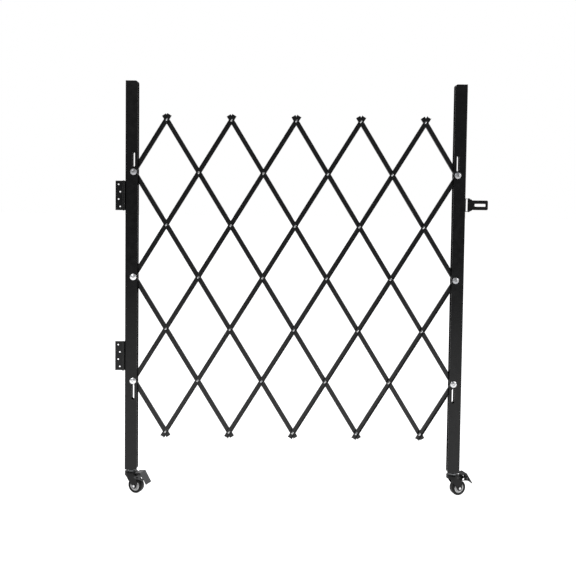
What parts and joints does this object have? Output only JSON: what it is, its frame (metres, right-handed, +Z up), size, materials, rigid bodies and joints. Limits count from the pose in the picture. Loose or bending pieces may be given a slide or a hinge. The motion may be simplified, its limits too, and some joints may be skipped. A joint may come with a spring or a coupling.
{
  "type": "expandable safety barrier",
  "caption": "Folding lattice barrier that hangs on wall hinges and rolls on braked casters, with a slotted hasp to lock it.",
  "frame": {"origin": "on the floor, plumb below the pins of the wall hinges", "axes": "+X along the open barrier towards the hasp, +Z up, -Y the front"},
  "size_m": [1.2674, 0.078, 1.413],
  "materials": {
    "post": "satin black powder coat",
    "strip": "satin black powder coat",
    "rivet": "bright zinc plate",
    "bolt": "bright zinc plate",
    "spacer": "black, dull",
    "caster_stem": "zinc plate",
    "caster_fork": "black, half gloss",
    "tyre": "dull black",
    "wheel_hub": "pale grey",
    "brake_pedal": "grey, half gloss",
    "hinge_leaf": "satin black powder coat",
    "hinge_pin": "dark steel",
    "hasp": "satin black powder coat"
  },
  "bodies": {
    "wall": {"upper_wall_leaf": "hinge_leaf", "lower_wall_leaf": "hinge_leaf", "hinge_pins": "hinge_pin"},
    "left_post": {"left_post": "post", "upper_post_leaf": "hinge_leaf", "lower_post_leaf": "hinge_leaf", "post_leaf_screws": "bolt", "left_caster_stem": "caster_stem", "left_middle_bolt_and_nut": "bolt", "left_middle_spacers": "spacer"},
    "right_post": {"right_post": "post", "hasp_bracket": "hasp", "hasp_pin": "hinge_pin", "right_caster_stem": "caster_stem", "right_middle_bolt_and_nut": "bolt", "right_middle_spacers": "spacer"},
    "hasp_strap": {"hasp_strap": "hasp"},
    "strip_back_1": {"strip_back_1": "strip"},
    "strip_front_1": {"strip_front_1": "strip", "rivets_front_1": "rivet", "left_bottom_bolt_and_nut": "bolt", "left_bottom_spacers": "spacer"},
    "strip_back_2": {"strip_back_2": "strip"},
    "strip_front_2": {"strip_front_2": "strip", "rivets_front_2": "rivet"},
    "strip_back_3": {"strip_back_3": "strip"},
    "strip_front_3": {"strip_front_3": "strip", "rivets_front_3": "rivet", "left_top_bolt_and_nut": "bolt", "left_top_spacers": "spacer"},
    "strip_back_4": {"strip_back_4": "strip"},
    "strip_front_4": {"strip_front_4": "strip", "rivets_front_4": "rivet"},
    "strip_back_5": {"strip_back_5": "strip"},
    "strip_front_5": {"strip_front_5": "strip", "rivets_front_5": "rivet"},
    "strip_back_6": {"strip_back_6": "strip"},
    "strip_front_6": {"strip_front_6": "strip", "rivets_front_6": "rivet", "right_top_bolt_and_nut": "bolt", "right_top_spacers": "spacer"},
    "strip_back_7": {"strip_back_7": "strip"},
    "strip_front_7": {"strip_front_7": "strip", "rivets_front_7": "rivet"},
    "strip_back_8": {"strip_back_8": "strip"},
    "strip_front_8": {"strip_front_8": "strip", "rivets_front_8": "rivet", "right_bottom_bolt_and_nut": "bolt", "right_bottom_spacers": "spacer"},
    "left_fork": {"left_caster_fork": "caster_fork", "left_axle_bolt_and_nut": "bolt"},
    "left_wheel": {"left_tyre": "tyre", "left_wheel_hub": "wheel_hub"},
    "left_brake": {"left_brake_pedal": "brake_pedal"},
    "right_fork": {"right_caster_fork": "caster_fork", "right_axle_bolt_and_nut": "bolt"},
    "right_wheel": {"right_tyre": "tyre", "right_wheel_hub": "wheel_hub"},
    "right_brake": {"right_brake_pedal": "brake_pedal"}
  },
  "joints": [
    {"name": "gate_swing", "type": "hinge", "parent": "wall", "child": "left_post", "pos_m": [0, 0, 0.748], "axis": [0, 0, 1], "range_deg": [-180, 0]},
    {"name": "fold", "type": "hinge", "parent": "left_post", "child": "strip_back_2", "pos_m": [0.0325, 0.017, 0.748], "axis": [0, 1, 0], "range_deg": [0, 26.5]},
    {"name": "front_2_pivot", "type": "hinge", "parent": "left_post", "child": "strip_front_2", "pos_m": [0.0325, 0.017, 0.748], "axis": [0, 1, 0], "range_deg": [-27, 0]},
    {"name": "front_1_pivot", "type": "hinge", "parent": "strip_back_2", "child": "strip_front_1", "pos_m": [0.14254, 0.017, 0.56914], "axis": [0, 1, 0], "range_deg": [-53.5, 0]},
    {"name": "front_4_pivot", "type": "hinge", "parent": "strip_back_2", "child": "strip_front_4", "pos_m": [0.25257, 0.017, 0.39027], "axis": [0, 1, 0], "range_deg": [-53.5, 0]},
    {"name": "front_5_pivot", "type": "hinge", "parent": "strip_back_2", "child": "strip_front_5", "pos_m": [0.36261, 0.017, 0.21141], "axis": [0, 1, 0], "range_deg": [-53.5, 0]},
    {"name": "back_1_pivot", "type": "hinge", "parent": "strip_front_2", "child": "strip_back_1", "pos_m": [0.14254, 0.017, 0.92686], "axis": [0, 1, 0], "range_deg": [0, 53.5]},
    {"name": "back_4_pivot", "type": "hinge", "parent": "strip_front_2", "child": "strip_back_4", "pos_m": [0.25257, 0.017, 1.10573], "axis": [0, 1, 0], "range_deg": [0, 53.5]},
    {"name": "back_5_pivot", "type": "hinge", "parent": "strip_front_2", "child": "strip_back_5", "pos_m": [0.36261, 0.017, 1.28459], "axis": [0, 1, 0], "range_deg": [0, 53.5]},
    {"name": "back_6_pivot", "type": "hinge", "parent": "strip_front_4", "child": "strip_back_6", "pos_m": [0.69272, 0.017, 1.10573], "axis": [0, 1, 0], "range_deg": [0, 53.5]},
    {"name": "back_7_pivot", "type": "hinge", "parent": "strip_front_4", "child": "strip_back_7", "pos_m": [0.80276, 0.017, 1.28459], "axis": [0, 1, 0], "range_deg": [0, 53.5]},
    {"name": "back_8_pivot", "type": "hinge", "parent": "strip_front_5", "child": "strip_back_8", "pos_m": [1.02283, 0.017, 1.28459], "axis": [0, 1, 0], "range_deg": [0, 53.5]},
    {"name": "front_6_pivot", "type": "hinge", "parent": "strip_back_1", "child": "strip_front_6", "pos_m": [0.58269, 0.017, 0.21141], "axis": [0, 1, 0], "range_deg": [-53.5, 0]},
    {"name": "front_7_pivot", "type": "hinge", "parent": "strip_back_4", "child": "strip_front_7", "pos_m": [0.80276, 0.017, 0.21141], "axis": [0, 1, 0], "range_deg": [-53.5, 0]},
    {"name": "front_8_pivot", "type": "hinge", "parent": "strip_back_5", "child": "strip_front_8", "pos_m": [1.02283, 0.017, 0.21141], "axis": [0, 1, 0], "range_deg": [-53.5, 0]},
    {"name": "back_3_pivot", "type": "hinge", "parent": "strip_front_4", "child": "strip_back_3", "pos_m": [0.14254, 0.017, 0.21141], "axis": [0, 1, 0], "range_deg": [0, 53.5]},
    {"name": "front_3_pivot", "type": "hinge", "parent": "strip_back_4", "child": "strip_front_3", "pos_m": [0.14254, 0.017, 1.28459], "axis": [0, 1, 0], "range_deg": [-53.5, 0]},
    {"name": "right_post_pivot", "type": "hinge", "parent": "strip_back_7", "child": "right_post", "pos_m": [1.13287, 0.017, 0.748], "axis": [0, 1, 0], "range_deg": [-27, 0]},
    {"name": "hasp_swing", "type": "hinge", "parent": "right_post", "child": "hasp_strap", "pos_m": [1.17437, 0.017, 1.006], "axis": [0, 0, 1], "range_deg": [-90, 90]},
    {"name": "left_caster_swivel", "type": "hinge", "parent": "left_post", "child": "left_fork", "pos_m": [0.0255, 0.017, 0.074], "axis": [0, 0, 1], "continuous": true},
    {"name": "left_wheel_roll", "type": "hinge", "parent": "left_fork", "child": "left_wheel", "pos_m": [0.04417, 0.00983, 0.0265], "axis": [-0.3584, -0.9336, 0], "continuous": true},
    {"name": "left_brake_press", "type": "hinge", "parent": "left_fork", "child": "left_brake", "pos_m": [0.04837, 0.00822, 0.0575], "axis": [0.3584, 0.9336, 0], "range_deg": [0, 10]},
    {"name": "right_caster_swivel", "type": "hinge", "parent": "right_post", "child": "right_fork", "pos_m": [1.13987, 0.017, 0.074], "axis": [0, 0, 1], "continuous": true},
    {"name": "right_wheel_roll", "type": "hinge", "parent": "right_fork", "child": "right_wheel", "pos_m": [1.15889, 0.02318, 0.0265], "axis": [0.309, -0.9511, 0], "continuous": true},
    {"name": "right_brake_press", "type": "hinge", "parent": "right_fork", "child": "right_brake", "pos_m": [1.16317, 0.02457, 0.0575], "axis": [-0.309, 0.9511, 0], "range_deg": [0, 10]}
  ],
  "couplings": [
    {"joint": "front_2_pivot", "follows": "fold", "ratio": -1},
    {"joint": "front_1_pivot", "follows": "fold", "ratio": -2},
    {"joint": "front_4_pivot", "follows": "fold", "ratio": -2},
    {"joint": "front_5_pivot", "follows": "fold", "ratio": -2},
    {"joint": "back_1_pivot", "follows": "fold", "ratio": 2},
    {"joint": "back_4_pivot", "follows": "fold", "ratio": 2},
    {"joint": "back_5_pivot", "follows": "fold", "ratio": 2},
    {"joint": "back_6_pivot", "follows": "fold", "ratio": 2},
    {"joint": "back_7_pivot", "follows": "fold", "ratio": 2},
    {"joint": "back_8_pivot", "follows": "fold", "ratio": 2},
    {"joint": "front_6_pivot", "follows": "fold", "ratio": -2},
    {"joint": "front_7_pivot", "follows": "fold", "ratio": -2},
    {"joint": "front_8_pivot", "follows": "fold", "ratio": -2},
    {"joint": "back_3_pivot", "follows": "fold", "ratio": 2},
    {"joint": "front_3_pivot", "follows": "fold", "ratio": -2},
    {"joint": "right_post_pivot", "follows": "fold", "ratio": -1}
  ]
}
